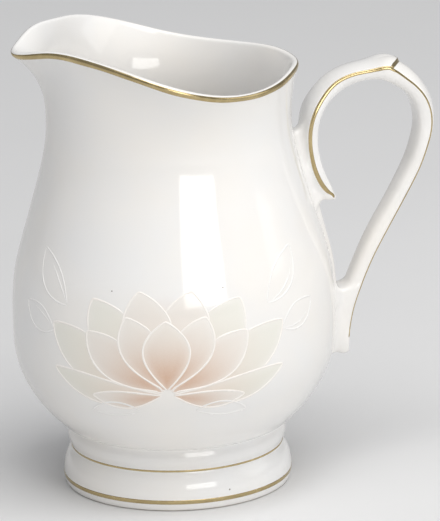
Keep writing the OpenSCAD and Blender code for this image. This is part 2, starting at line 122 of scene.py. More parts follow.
def surf_r(a, z):
    w = np.clip((z - 88.0) / (lip_h(a) - 88.0), 0, 1.2)
    t = np.clip((fold(a) - 120) / 50, 0, 1)
    return profile(z) + flare_f(fold(a)) * w ** (3.1 + 0.73 * t * t * (3 - 2 * t))


def surf(a, u):
    z = FOOT_H + (LIP_Z - FOOT_H) * u + (lip_h(a) - LIP_Z) * np.clip(u, 0, 2) ** 3.5
    r = surf_r(a, z)
    t = np.radians(a)
    return np.stack([r * np.cos(t), r * np.sin(t), z], -1)


def surf_n(a, u):
    a, u = np.broadcast_arrays(np.asarray(a, float), np.asarray(u, float))
    n = np.cross(surf(a + 0.25, u) - surf(a - 0.25, u), surf(a, u + 0.001) - surf(a, np.maximum(u - 0.001, 0)))
    return n / np.linalg.norm(n, axis=-1, keepdims=True)


def on(a, z, h):
    """Points of the outside at angle a (degrees) and height z, lifted h along the normal."""
    a, z = np.broadcast_arrays(np.asarray(a, float), np.asarray(z, float))

    def p(aa, zz):
        r = surf_r(aa, zz)
        t = np.radians(aa)
        return np.stack([r * np.cos(t), r * np.sin(t), zz], -1)

    n = np.cross(p(a + 0.25, z) - p(a - 0.25, z), p(a, z + 0.1) - p(a, z - 0.1))
    n /= np.linalg.norm(n, axis=-1, keepdims=True)
    return p(a, z) + n * np.asarray(h)[..., None]


# ---------------------------------------------------------------- mesh helpers

def make(name, verts, faces, material, smooth=True):
    me = bpy.data.meshes.new(name)
    v = np.asarray(verts, float) * MM
    me.from_pydata(v.tolist(), [], [list(map(int, f)) for f in faces])
    me.update()
    me.validate()
    if smooth:
        me.polygons.foreach_set("use_smooth", [True] * len(me.polygons))
    ob = bpy.data.objects.new(name, me)
    bpy.context.scene.collection.objects.link(ob)
    me.materials.append(material)
    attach(ob, "root")
    return ob


def grid_faces(rows, n, loop=True, base=0):
    i, k = np.meshgrid(np.arange(rows - 1), np.arange(n if loop else n - 1), indexing="ij")
    a = base + i * n + k
    b = base + i * n + (k + 1) % n
    return np.stack([a, b, b + n, a + n], -1).reshape(-1, 4)


def shell(top, bottom):
    """A closed sheet from two equal grids (rows, cols, 3)."""
    r, c = top.shape[:2]
    v = np.concatenate([top.reshape(-1, 3), bottom.reshape(-1, 3)])
    f = [grid_faces(r, c, False), grid_faces(r, c, False, r * c)[:, ::-1]]
    edge = np.concatenate([np.arange(c), c - 1 + c * np.arange(1, r), (r - 1) * c + np.arange(c - 2, -1, -1), c * np.arange(r - 2, 0, -1)])
    nx = np.roll(edge, -1)
    f.append(np.stack([nx, edge, edge + r * c, nx + r * c], -1))
    return v, np.concatenate(f)


def loop_band(top, bottom):
    """A closed ring-shaped strip: grids (rows, cols, 3) that close round along cols."""
    r, c = top.shape[:2]
    v = np.concatenate([top.reshape(-1, 3), bottom.reshape(-1, 3)])
    k = np.arange(c)
    nx = (k + 1) % c
    f = [grid_faces(r, c, True), grid_faces(r, c, True, r * c)[:, ::-1],
         np.stack([nx, k, k + r * c, nx + r * c], -1),
         np.stack([k, nx, nx + r * c, k + r * c], -1) + (r - 1) * c]
    return v, np.concatenate(f)


# ---------------------------------------------------------------- materials

class Nodes:
    def __init__(self, name):
        self.m = bpy.data.materials.new(name)
        self.m.use_nodes = True
        self.t = self.m.node_tree
        self.t.nodes.clear()
        self.out = self.t.nodes.new("ShaderNodeOutputMaterial")
        self.p = self.t.nodes.new("ShaderNodeBsdfPrincipled")
        self.t.links.new(self.p.outputs[0], self.out.inputs[0])
        self.coord = self.t.nodes.new("ShaderNodeTexCoord").outputs["Object"]

    def link(self, a, b):
        self.t.links.new(a, b)

    def noise(self, scale, detail=2.0, rough=0.5, vec=None, distortion=0.0):
        n = self.t.nodes.new("ShaderNodeTexNoise")
        n.inputs["Scale"].default_value = scale
        n.inputs["Detail"].default_value = detail
        n.inputs["Roughness"].default_value = rough
        n.inputs["Distortion"].default_value = distortion
        self.link(vec or self.coord, n.inputs["Vector"])
        return n.outputs[0]

    def ramp(self, value, lo, hi, a=0.0, b=1.0):
        n = self.t.nodes.new("ShaderNodeMapRange")
        n.clamp = True
        n.inputs["From Min"].default_value = lo
        n.inputs["From Max"].default_value = hi
        n.inputs["To Min"].default_value = a
        n.inputs["To Max"].default_value = b
        self.link(value, n.inputs["Value"])
        return n.outputs[0]

    def mix(self, fac, a, b):
        n = self.t.nodes.new("ShaderNodeMix")
        n.data_type = "RGBA"
        for sock, val in ((n.inputs["Factor"], fac), (n.inputs[6], a), (n.inputs[7], b)):
            if isinstance(val, (int, float)):
                sock.default_value = val
            elif isinstance(val, tuple):
                sock.default_value = (*val, 1.0)
            else:
                self.link(val, sock)
        return n.outputs[2]

    def math(self, op, a, b=None):
        n = self.t.nodes.new("ShaderNodeMath")
        n.operation = op
        for sock, val in zip(n.inputs, (a, b)):
            if val is None:
                continue
            if isinstance(val, (int, float)):
                sock.default_value = val
            else:
                self.link(val, sock)
        return n.outputs[0]

    def bump(self, height, strength, distance):
        n = self.t.nodes.new("ShaderNodeBump")
        n.inputs["Strength"].default_value = strength
        n.inputs["Distance"].default_value = distance
        self.link(height, n.inputs["Height"])
        self.link(n.outputs[0], self.p.inputs["Normal"])

    def z(self):
        s = self.t.nodes.new("ShaderNodeSeparateXYZ")
        self.link(self.coord, s.inputs[0])
        return s.outputs[2]

    def near(self, point, radius):
        """1 inside a ball of that radius about a point (metres), soft at its edge."""
        n = self.t.nodes.new("ShaderNodeVectorMath")
        n.operation = "DISTANCE"
        n.inputs[1].default_value = point
        self.link(self.coord, n.inputs[0])
        return self.ramp(n.outputs["Value"], radius * 0.6, radius, 1.0, 0.0)


PORCELAIN = (0.86, 0.845, 0.82)
PORCELAIN_WARM = (0.875, 0.85, 0.81)
PORCELAIN_COOL = (0.845, 0.84, 0.83)


def glaze_colour(k):
    """The glaze's faint warm and cool clouding."""
    return k.mix(k.ramp(k.noise(28.0, 3.0, 0.55), 0.35, 0.65), PORCELAIN_WARM, PORCELAIN_COOL)


def glaze_surface(k, roughness=0.075, wave=0.35):
    """Gloss with the slight waviness and tiny pinholes of a fired glaze."""
    k.p.inputs["IOR"].default_value = 1.52
    k.link(k.ramp(k.noise(60.0, 4.0, 0.6), 0.3, 0.7, roughness * 0.75, roughness * 1.35), k.p.inputs["Roughness"])
    broad = k.noise(75.0, 1.0, 0.4)
    fine = k.ramp(k.noise(900.0, 1.0, 0.4), 0.2, 0.34, 0.0, 1.0)
    k.bump(k.math("ADD", broad, k.math("MULTIPLY", fine, 0.03)), wave, 0.00025)


def specks(k, colour, points):
    for p, r in points:
        colour = k.mix(k.near(tuple(c * MM for c in p), r * MM), colour, (0.16, 0.13, 0.11))
    return colour


def porcelain(name, spots=(), foot_ring=False):
    k = Nodes(name)
    colour = specks(k, glaze_colour(k), spots)
    if foot_ring:
        # the ring that the jug stands on is left bare: matt, warmer and a little dirty
        z = k.z()
        bare = k.ramp(z, 0.00025, 0.00045, 1.0, 0.0)
        grime = k.mix(k.ramp(k.noise(420.0, 4.0, 0.7), 0.35, 0.7), (0.74, 0.70, 0.64), (0.60, 0.555, 0.49))
        colour = k.mix(bare, colour, grime)
    k.link(colour, k.p.inputs["Base Color"])
    glaze_surface(k)
    if foot_ring:
        rough = k.p.inputs["Roughness"].links[0].from_socket
        n = k.t.nodes.new("ShaderNodeMix")
        n.data_type = "FLOAT"
        k.link(bare, n.inputs["Factor"])
        k.link(rough, n.inputs[2])
        n.inputs[3].default_value = 0.7
        k.link(n.outputs[0], k.p.inputs["Roughness"])
    return k.m


def gold(name, base=(0.60, 0.48, 0.26), dark=(0.44, 0.345, 0.175)):
    """Burnished bright gold: rubbed a little, with fine brushing and pin wear."""
    k = Nodes(name)
    wear = k.noise(260.0, 4.0, 0.65)
    fine = k.noise(2400.0, 2.0, 0.5)
    k.link(k.mix(k.ramp(wear, 0.3, 0.7), dark, base), k.p.inputs["Base Color"])
    k.p.inputs["Metallic"].default_value = 1.0
    k.link(k.ramp(wear, 0.3, 0.75, 0.16, 0.32), k.p.inputs["Roughness"])
    k.bump(k.math("ADD", k.math("MULTIPLY", wear, 0.6), k.math("MULTIPLY", fine, 0.1)), 0.2, 0.00006)
    return k.m


def enamel(name, colour, tint):
    k = Nodes(name)
    k.link(k.mix(k.ramp(k.noise(160.0, 3.0, 0.6), 0.35, 0.65), colour, tint), k.p.inputs["Base Color"])
    k.p.inputs["IOR"].default_value = 1.5
    k.link(k.ramp(k.noise(500.0, 2.0, 0.5), 0.3, 0.7, 0.16, 0.3), k.p.inputs["Roughness"])
    k.bump(k.noise(1500.0, 2.0, 0.5), 0.2, 0.00006)
    return k.m


def transfer_material(name):
    """The printed transfer: its colours come from the mesh's colour layer, over the same glaze."""
    k = Nodes(name)
    at = k.t.nodes.new("ShaderNodeVertexColor")
    at.layer_name = "print"
    dots = k.ramp(k.noise(2600.0, 2.0, 0.55), 0.35, 0.65, 0.93, 1.0)
    mask = k.math("MULTIPLY", at.outputs["Alpha"], dots)
    base = glaze_colour(k)
    k.link(specks(k, k.mix(mask, base, at.outputs["Color"]), SPECKS), k.p.inputs["Base Color"])
    glaze_surface(k, 0.085)
    return k.m


def on1(a, z, h=0.0):
    return tuple(on(np.array(float(a)), np.array(float(z)), np.array(float(h))).tolist())


SPECKS = [(on1(276.5, 60.5), 0.2), (on1(235.0, 60.0), 0.2)]
FOOT_SPECKS = [((28.6 * math.cos(math.radians(284.5)), 28.6 * math.sin(math.radians(284.5)), 4.6), 0.26),
               ((28.55 * math.cos(math.radians(208)), 28.55 * math.sin(math.radians(208)), 2.6), 0.24)]
mat_body = porcelain("glazed_porcelain_body", SPECKS)
mat_foot = porcelain("glazed_porcelain_foot", FOOT_SPECKS, foot_ring=True)
mat_handle = porcelain("glazed_porcelain_handle")
mat_slip = porcelain("glazed_slip")
mat_gold = gold("burnished_gold")
mat_white = enamel("raised_white_enamel", (0.885, 0.875, 0.86), (0.87, 0.855, 0.835))
mat_pink = enamel("raised_blush_enamel", (0.93, 0.895, 0.855), (0.915, 0.87, 0.82))
mat_print = transfer_material("flower_print")

# ---------------------------------------------------------------- body

NA = 256


def build_body():
    ang = np.arange(NA) * 360.0 / NA
    s = np.linspace(0, 1, 150)
    u = 0.86 * s + 0.14 * (s * s * (3 - 2 * s)) - 0.016 * np.sin(2 * np.pi * s)
    rings = [surf(ang, np.full(NA, x)) for x in u]
    n1 = surf_n(ang, np.full(NA, 0.9995))
    p1 = surf(ang, np.full(NA, 1.0))
    c = p1 - n1 * LIP_WALL / 2
    up = np.array([0, 0, 1.0]) - n1 * n1[:, 2:]
    up /= np.linalg.norm(up, axis=1, keepdims=True)
    for f in np.radians([18, 36, 54, 72, 90, 108, 126, 144, 162]):
        rings.append(c + LIP_WALL / 2 * (n1 * np.cos(f) + up * np.sin(f)))
    low_u = 0.085
    for j in np.linspace(0, 1, 120):
        x = 1 + (low_u - 1) * j
        t = WALL if x < 0.8 else WALL + (LIP_WALL - WALL) * (x - 0.8) / 0.2
        uu = np.full(NA, min(x, 0.9995))
        rings.append(surf(ang, np.full(NA, x)) - surf_n(ang, uu) * t)
    low = rings[-1][0]
    z_floor = FOOT_H + FLOOR_T
    # a smooth round from the wall into the floor
    for f in np.linspace(0.04, 1, 26):
        g = (1 - f) ** 2.6
        rr = 1 - f**1.25
        if rr < 0.02:
            break
        rad = low[0] * rr
        rings.append(np.stack([rad * np.cos(np.radians(ang)), rad * np.sin(np.radians(ang)), np.full(NA, z_floor + (low[2] - z_floor) * g)], -1))
    v = np.concatenate(rings)
    m = len(rings)
    f = grid_faces(m, NA).tolist()
    v = np.concatenate([v, [[0, 0, z_floor]], [[0, 0, FOOT_H]]])
    top, bot = m * NA, m * NA + 1
    # the underside, in rings so that it shades flat
    f += [[(m - 1) * NA + k, (m - 1) * NA + (k + 1) % NA, top] for k in range(NA)]
    f += [[(k + 1) % NA, k, bot] for k in range(NA)]
    ob = make("jug_body", v, f, mat_body)
    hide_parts("body")
    return ob


# ---------------------------------------------------------------- foot

FOOT_R, WAIST_R, RECESS_R = 28.6, 26.6, 22.5
FOOT_OUT = [[FOOT_R - 1.2, 0.0], [FOOT_R - 0.72, 0.22], [FOOT_R - 0.38, 0.8], [FOOT_R - 0.11, 1.95], [FOOT_R, 2.5], [FOOT_R + 0.02, 3.05], [FOOT_R - 0.02, 4.2],
            [FOOT_R - 0.15, 5.2], [FOOT_R - 0.4, 6.3], [FOOT_R - 0.8, 7.4], [FOOT_R - 1.3, 8.4], [WAIST_R + 0.2, 9.2], [WAIST_R, 9.75], [WAIST_R, 10.25],
            [WAIST_R + 0.22, 10.9], [WAIST_R + 0.5, 11.6], [WAIST_R + 0.68, 12.4], [WAIST_R + 0.7, 13.2], [WAIST_R + 0.55, 14.0], [WAIST_R + 0.3, 14.8], [WAIST_R + 0.2, FOOT_H]]
FOOT_IN = [[RECESS_R, FOOT_H], [RECESS_R, 13.5], [RECESS_R + 0.4, 9], [RECESS_R + 1.1, 4.5], [RECESS_R + 1.9, 1.2], [RECESS_R + 2.4, 0.3], [25.4, 0.0]]
foot_sp, foot_len = chord_spline(FOOT_OUT)


def lathe_rings(rz, n=NA):
    t = np.arange(n) * 2 * np.pi / n
    return np.stack([np.outer(rz[:, 0], np.cos(t)), np.outer(rz[:, 0], np.sin(t)), np.repeat(rz[:, 1:2], n, 1)], -1)


def build_foot():
    out = foot_sp(np.linspace(0, foot_len, 110))
    sp, ln = chord_spline(FOOT_IN)
    inn = sp(np.linspace(0, ln, 40))
    rz = np.concatenate([out, inn])
    g = lathe_rings(rz)
    m = len(g)
    v = g.reshape(-1, 3)
    f = grid_faces(m, NA)
    k = np.arange(NA)
    nx = (k + 1) % NA
    f = np.concatenate([f, np.stack([(m - 1) * NA + k, (m - 1) * NA + nx, nx, k], -1)])
    ob = make("jug_foot", v, f, mat_foot)
    sharp_rings(ob, [0.0, FOOT_H])
    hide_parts("foot")
    return ob


def sharp_rings(ob, heights):
    """Marks edges sharp where the section turns a corner, so that flats shade flat."""
    me = ob.data
    co = np.array([v.co.z for v in me.vertices]) / MM
    rr = np.array([math.hypot(v.co.x, v.co.y) for v in me.vertices]) / MM
    for e in me.edges:
        a, b = e.vertices
        if abs(co[a] - co[b]) < 1e-4 and abs(rr[a] - rr[b]) < 1e-3 and any(abs(co[a] - h) < 1e-3 for h in heights):
            e.use_edge_sharp = True


def profile_band(s0, s1, lift, n=9, sink=0.05, name="band", node="foot_gilt_band"):
    """A gilt ring that follows the foot's outline between two places along it."""
    s = np.linspace(s0, s1, n)
    p = foot_sp(s)
    d = foot_sp(s + 0.01) - foot_sp(s - 0.01)
    nrm = np.stack([d[:, 1], -d[:, 0]], -1)
    nrm /= np.linalg.norm(nrm, axis=1, keepdims=True)
    w = np.clip(np.minimum(np.arange(n), np.arange(n)[::-1]) / 1.0, 0, 1)[:, None]
    top = lathe_rings(p + nrm * lift * w - nrm * 0.004 * (1 - w))
    low = lathe_rings(p - nrm * sink)
    v, f = loop_band(top, low)
    ob = make(name, v, f, mat_gold)
    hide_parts(node)
    return ob


def foot_s_at(z):
    s = np.linspace(0, foot_len, 4000)
    return float(s[np.argmin(np.abs(foot_sp(s)[:, 1] - z))])


# ---------------------------------------------------------------- handle: a smooth field, meshed once

STRAP = np.array([
    [40.43, 70.85, 0.62, 0.3, 0.2], [39.0, 72.43, 0.8, 0.59, 0.4], [37.0, 75.24, 0.95, 0.83, 0.6], [35.23, 79.28, 1, 0.94, 0.8],
    [34.29, 84.18, 1, 1.02, 0.9], [34.34, 88.79, 1, 1.04, 1], [35.46, 93.2, 1, 1.03, 1], [37.77, 97.01, 0.9, 1.04, 1],
    [41.3, 100.59, 0.8, 1.19, 1], [46.07, 102.68, 0.82, 1.12, 1.1], [51.05, 103.44, 0.9, 1.1, 1.4], [55.53, 103.42, 1, 1.32, 1.9],
    [58.86, 101.26, 1, 1.17, 2.7], [62.07, 98.61, 0.95, 1.13, 3.0], [64.7, 95.32, 0.89, 1.2, 2.8], [66.22, 91.33, 0.85, 1.23, 2.4],
    [66.38, 86.97, 0.84, 1.16, 1.9], [65.17, 82.34, 0.88, 0.99, 1.5], [63.23, 77.14, 0.86, 0.95, 1.2], [60.47, 71.73, 0.84, 0.95, 1.0],
    [57.2, 65.95, 0.82, 0.97, 0.9], [53.82, 60.06, 0.8, 1.04, 0.9], [50.54, 53.94, 0.78, 1, 0.8], [47.75, 47.59, 0.76, 1.02, 0.8],
    [45.55, 41.5, 0.75, 1.06, 0.8], [44.39, 35.97, 0.75, 1.05, 0.8], [44.02, 31.52, 0.74, 1.05, 0.7], [44.1, 29.98, 0.66, 0.97, 0.4]])
STRAP_W, STRAP_T, CROWN = 12.0, 3.0, 0.6
CREST_S = 48.3                      # where the chevron's arms meet the strap's edges, along the strap
strap_sp, strap_len = chord_spline(STRAP)
NST = 900
st_s = np.linspace(0, strap_len, NST)
st_ds = st_s[1]
st = strap_sp(st_s)
st_d = strap_sp(st_s + 0.05)[:, :2] - strap_sp(st_s - 0.05)[:, :2]
st_d[0] = st_d[1]
st_d[-1] = st_d[-2]
st_t = st_d / np.linalg.norm(st_d, axis=1, keepdims=True)
st_n = np.stack([-st_t[:, 1], st_t[:, 0]], -1)          # outward
st_hw = np.clip(st[:, 2], 0.5, 1.06) * STRAP_W / 2
st_ht = np.clip(st[:, 3], 0.3, 1.6) * STRAP_T / 2
st_cr = st[:, 4] * CROWN
st_p = np.interp(st_s, [0, 60, 95, 150], [4.5, 4.5, 3.0, 3.0])   # how square the section is
st_c = st[:, :2] - st_n * st_ht[:, None]                # centre line
LOOK_X, LOOK_Z, LOOK = 27.0, 25.0, 0.125
look_x = LOOK_X + LOOK * np.arange(345)
look_z = LOOK_Z + LOOK * np.arange(665)


def lookup():
    """Nearest station for a fine grid of the plane of symmetry."""
    out = np.empty((len(look_x), len(look_z)), np.int32)
    c2 = (st_c**2).sum(1)
    for i, x in enumerate(look_x):
        d = c2[None] - 2 * (x * st_c[:, 0][None] + look_z[:, None] * st_c[:, 1][None])
        out[i] = d.argmin(1)
    return out


look = lookup()


def nearest(x, z):
    """For points of the plane of symmetry: place along the strap (in stations), distance outward from its centre line, distance past an end."""
    ix = np.clip(((x - LOOK_X) / LOOK + 0.5).astype(int), 0, len(look_x) - 1)
    iz = np.clip(((z - LOOK_Z) / LOOK + 0.5).astype(int), 0, len(look_z) - 1)
    i = look[ix, iz]
    for _ in range(2):
        a = (x - st_c[i, 0]) * st_t[i, 0] + (z - st_c[i, 1]) * st_t[i, 1]
        i = np.clip(i + np.round(np.clip(a / st_ds, -3, 3)).astype(int), 0, NST - 1)
    a = (x - st_c[i, 0]) * st_t[i, 0] + (z - st_c[i, 1]) * st_t[i, 1]
    f = np.clip(i + np.clip(a / st_ds, -1, 1), 0, NST - 1)
    lo = np.minimum(f.astype(int), NST - 2)
    w = f - lo
    cx = st_c[lo, 0] * (1 - w) + st_c[lo + 1, 0] * w
    cz = st_c[lo, 1] * (1 - w) + st_c[lo + 1, 1] * w
    nx = st_n[lo, 0] * (1 - w) + st_n[lo + 1, 0] * w
    nz = st_n[lo, 1] * (1 - w) + st_n[lo + 1, 1] * w
    d = (x - cx) * nx + (z - cz) * nz
    over = np.where(i == 0, -a, np.where(i == NST - 1, a, -9.0))
    return lo, w, d, over


def smin(a, b, k):
    h = np.maximum(k - np.abs(a - b), 0) / k
    return np.minimum(a, b) - h * h * k * 0.25


def smax(a, b, k):
    return -smin(-a, -b, k)


def smooth(t):
    t = np.clip(t, 0, 1)
    return t * t * (3 - 2 * t)


# the body's outside near the handle, tabled for speed
tab_a = np.linspace(-34, 34, 137)
tab_z = np.linspace(22, 112, 901)
tab_r = surf_r(*np.meshgrid(tab_a, tab_z, indexing="ij"))
tab_g = 1 / np.sqrt(1 + np.gradient(tab_r, tab_z, axis=1) ** 2)


def body_d(x, y, z):
    """Distance outside the body's outer surface, nearly."""
    r = np.hypot(x, y)
    a = np.clip((np.degrees(np.arctan2(y, x)) + 34) / 0.5, 0, len(tab_a) - 1.001)
    b = np.clip((z - 22) / 0.1, 0, len(tab_z) - 1.001)
    i, j = a.astype(int), b.astype(int)
    u, v = a - i, b - j
    w = ((1 - u) * (1 - v), u * (1 - v), (1 - u) * v, u * v)
    k = ((i, j), (i + 1, j), (i, j + 1), (i + 1, j + 1))
    rr = sum(q * tab_r[m] for q, m in zip(w, k))
    gg = sum(q * tab_g[m] for q, m in zip(w, k))
    return (r - rr) * gg


def crest(s, yy):
    """The raised point of the crest: it swells towards the chevron and drops just past it."""
    at = CREST_S + 2.1 * (1 - np.abs(yy) ** 1.2)
    rise = np.exp(-(np.minimum(s - at, 0) / 2.8) ** 2)
    fall = 1 - 0.5 * smooth((s - at) / 0.8) - 0.5 * smooth((s - at - 0.8) / 9.0)
    return CREST_UP * np.where(s < at, rise, fall) * (0.45 + 0.55 * (1 - yy**2))


CREST_UP = 1.1


def strap_field(x, y, z):
    """The strap alone: a crowned outer face with crisp edges, and a rounded back."""
    lo, w, d, over = nearest(x, z)
    hw = st_hw[lo] * (1 - w) + st_hw[lo + 1] * w
    ht = st_ht[lo] * (1 - w) + st_ht[lo + 1] * w
    cr = st_cr[lo] * (1 - w) + st_cr[lo + 1] * w
    ay = np.abs(y)
    yy = np.clip(ay / hw, 0, 1)
    v = ht - d
    outer = -v - cr * (1 - yy**2) - crest((lo + w) * st_ds, yy)
    a, b = ay / hw, np.maximum(v, 0) / (2 * ht)
    p = st_p[lo]
    e = (a**p + b**p + 1e-9) ** (1 / p)
    g = np.hypot((a / e) ** (p - 1) / hw, (b / e) ** (p - 1) / (2 * ht))
    inner = (e - 1) / np.maximum(g, 0.1)
    body = smax(outer, inner, 0.7)
    return np.where(over > -8, smax(body, over - 0.15, 1.0), body), d


def field(x, y, z):
    strap, d = strap_field(x, y, z)
    bd = body_d(x, y, z)
    ay = np.abs(y)
    # web between the body and the strap's first limb: it narrows upwards, and ends below in the spur's flat underside
    wide = 5.2 - 3.6 * smooth((z - 76.5) / 12.5)
    up = smax(smax(ay - wide, 70.5 - z, 0.9), smax(z - 87.0 - 0.9 * (x - 31.5), -d, 0.8), 1.2)
    up = np.where(x < 46, up, 9.0)
    # web between the belly and the tail
    lo = smax(smax(ay - 4.1, 30.3 - z, 0.9), smax(z - 46.6, d, 0.4), 0.9)
    # pad along the body between the two
    out = 0.55 + 0.75 * np.clip((z - 62) / 9, 0, 1)
    pad = smax(smax(ay - (3.9 + 0.9 * np.clip((z - 58) / 12, 0, 1)), bd - out, 1.6), smax(z - 72, 44 - z, 0.9), 0.9)
    return smin(smin(strap, up, 2.2), smin(lo, pad, 1.8), 1.9), bd


FILLET = 3.2


def handle_field(x, y, z):
    h, b = field(x, y, z)
    joined = smin(h, b, FILLET) + 0.05
    # only the part outside the body, sunk 0.25 mm into it, and only as far as the fillet reaches
    return smax(np.maximum(joined, -(b + 0.25)), h - FILLET * 0.98, 0.05)


def surface_nets(F, org, step):
    """A quad mesh of the surface where F changes sign."""
    s = F < 0
    nx, ny, nz = F.shape
    cells = np.zeros((nx - 1, ny - 1, nz - 1), bool)
    acc = np.zeros((nx - 1, ny - 1, nz - 1, 3))
    cnt = np.zeros((nx - 1, ny - 1, nz - 1))
    for ax in range(3):
        a = [slice(None)] * 3
        b = [slice(None)] * 3
        a[ax], b[ax] = slice(0, -1), slice(1, None)
        sa, sb = s[tuple(a)], s[tuple(b)]
        cross = sa != sb
        fa, fb = F[tuple(a)], F[tuple(b)]
        t = np.where(cross, fa / np.where(cross, fa - fb, 1), 0)
        o1, o2 = [i for i in range(3) if i != ax]
        for d1 in (0, 1):
            for d2 in (0, 1):
                # the edge at offset (d1, d2) of a cell
                src = [slice(None)] * 3
                dim1, dim2 = F.shape[o1], F.shape[o2]
                src[o1] = slice(d1, dim1 - 1 + d1)
                src[o2] = slice(d2, dim2 - 1 + d2)
                c, tt = cross[tuple(src)], t[tuple(src)]
                acc[..., ax] += np.where(c, tt, 0)
                acc[..., o1] += np.where(c, d1, 0)
                acc[..., o2] += np.where(c, d2, 0)
                cnt += c
    cells = cnt > 0
    ids = -np.ones(cells.shape, int)
    ids[cells] = np.arange(cells.sum())
    loc = np.argwhere(cells)
    verts = org + step * (loc + acc[cells] / cnt[cells][:, None])
    faces = []
    for ax in range(3):
        a = [slice(None)] * 3
        b = [slice(None)] * 3
        a[ax], b[ax] = slice(0, -1), slice(1, None)
        sa, sb = s[tuple(a)], s[tuple(b)]
        o1, o2 = [(1, 2), (2, 0), (0, 1)][ax]
        e = np.argwhere(sa != sb)
        e = e[(e[:, o1] > 0) & (e[:, o2] > 0) & (e[:, o1] < F.shape[o1] - 1) & (e[:, o2] < F.shape[o2] - 1)]
        inside = sa[tuple(e.T)]
        u1 = np.zeros(3, int); u1[o1] = 1
        u2 = np.zeros(3, int); u2[o2] = 1
        q = np.stack([ids[tuple((e - u1 - u2).T)], ids[tuple((e - u2).T)], ids[tuple(e.T)], ids[tuple((e - u1).T)]], -1)
        q = np.where(inside[:, None], q, q[:, ::-1])
        faces.append(q)
    return verts, np.concatenate(faces)


def grad(fn, p, e=0.02):
    g = np.empty_like(p)
    for i in range(3):
        d = np.zeros(3)
        d[i] = e
        q, r = p + d, p - d
        g[:, i] = (fn(*q.T) - fn(*r.T)) / (2 * e)
    return g


def settle(fn, p, steps=3, most=0.3):
    for _ in range(steps):
        f = fn(*p.T)
        g = grad(fn, p)
        m = np.maximum((g**2).sum(1), 0.05)
        d = -(f / m)[:, None] * g
        ln = np.linalg.norm(d, axis=1, keepdims=True)
        p = p + d * np.minimum(1, most / np.maximum(ln, 1e-9))
    return p


def relax(verts, faces, fn, rounds=3):
    n = len(verts)
    e = np.concatenate([faces[:, [0, 1]], faces[:, [1, 2]], faces[:, [2, 3]], faces[:, [3, 0]]])
    for _ in range(rounds):
        acc = np.zeros_like(verts)
        cnt = np.zeros(n)
        for i in range(3):
            acc[:, i] = np.bincount(e[:, 0], verts[e[:, 1], i], n) + np.bincount(e[:, 1], verts[e[:, 0], i], n)
        cnt = np.bincount(e[:, 0], minlength=n) + np.bincount(e[:, 1], minlength=n)
        verts = verts + 0.5 * (acc / np.maximum(cnt, 1)[:, None] - verts)
        verts = settle(fn, verts, 1)
    return verts


def build_handle():
    step = 0.36
    lo, hi = np.array([29.0, -11.5, 27.0]), np.array([69.6, 11.5, 108.0])
    # a coarse pass finds where the surface can be; only there is the fine grid filled in
    n = (np.ceil((hi - lo) / (4 * step))).astype(int) * 4 + 1
    xs, ys, zs = (lo[i] + step * np.arange(n[i]) for i in range(3))
    X, Y, Z = np.meshgrid(xs[::4], ys[::4], zs[::4], indexing="ij")
    C = handle_field(X.ravel(), Y.ravel(), Z.ravel()).reshape(X.shape)
    close = np.abs(C) < 5.2 * step
    cell = np.zeros(tuple(m - 1 for m in C.shape), bool)
    for a in (0, 1):
        for b in (0, 1):
            for c in (0, 1):
                cell |= close[a:a + cell.shape[0], b:b + cell.shape[1], c:c + cell.shape[2]]
    F = np.repeat(np.repeat(np.repeat(C, 4, 0), 4, 1), 4, 2)[:n[0], :n[1], :n[2]].copy()
    mask = np.zeros(tuple(n), bool)
    big = np.repeat(np.repeat(np.repeat(cell, 4, 0), 4, 1), 4, 2)
    for a in (0, 1):
        for b in (0, 1):
            for c in (0, 1):
                mask[a:a + big.shape[0], b:b + big.shape[1], c:c + big.shape[2]] |= big
    at = np.argwhere(mask)
    F[mask] = handle_field(xs[at[:, 0]], ys[at[:, 1]], zs[at[:, 2]])
    v, f = surface_nets(F, lo, step)
    v = settle(handle_field, v, 2)
    v = relax(v, f, handle_field, 3)
    v, f = drop_bits(v, f)
    ob = make("jug_handle", v, f, mat_handle)
    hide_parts("handle", "upper_luting_slip", "lower_luting_slip")
    return ob


def drop_bits(v, f):
    """Keeps the largest connected piece."""
    n = len(v)
    lab = np.arange(n)
    e = np.concatenate([f[:, [0, 1]], f[:, [1, 2]], f[:, [2, 3]], f[:, [3, 0]]])
    while True:
        new = lab.copy()
        np.minimum.at(new, e[:, 0], lab[e[:, 1]])
        np.minimum.at(new, e[:, 1], lab[e[:, 0]])
        new = new[new]
        if (new == lab).all():
            break
        lab = new
    u, c = np.unique(lab, return_counts=True)
    print("handle shells:", sorted(c.tolist())[-6:])
    keep = lab == u[c.argmax()]
    ren = -np.ones(n, int)
    ren[keep] = np.arange(keep.sum())
    f = f[keep[f[:, 0]]]
    return v[keep], ren[f]


def edge_walk(i, side):
    """Points round the strap's outer edge at stations i: returns a function of the distance round it (0 at the edge, + down the flank, - over the outer face)."""
    hw, ht, cr = st_hw[i], st_ht[i], st_cr[i]

    def at(c):
        inward = np.maximum(-c, 0)
        down = np.maximum(c, 0)
        y = hw * np.clip(1 - (down / (2 * ht)) ** st_p[i] / st_p[i], 0.2, 1) - inward
        d = ht - down + cr * (1 - np.clip(y / hw, 0, 1) ** 2) * (c < 0) + crest(st_s[i], np.clip(y / hw, 0, 1)) * np.clip(1 - down / 1.2, 0, 1)
        p = st_c[i] + st_n[i] * d[:, None]
        return np.stack([p[:, 0], side * y, p[:, 1]], -1)

    return at


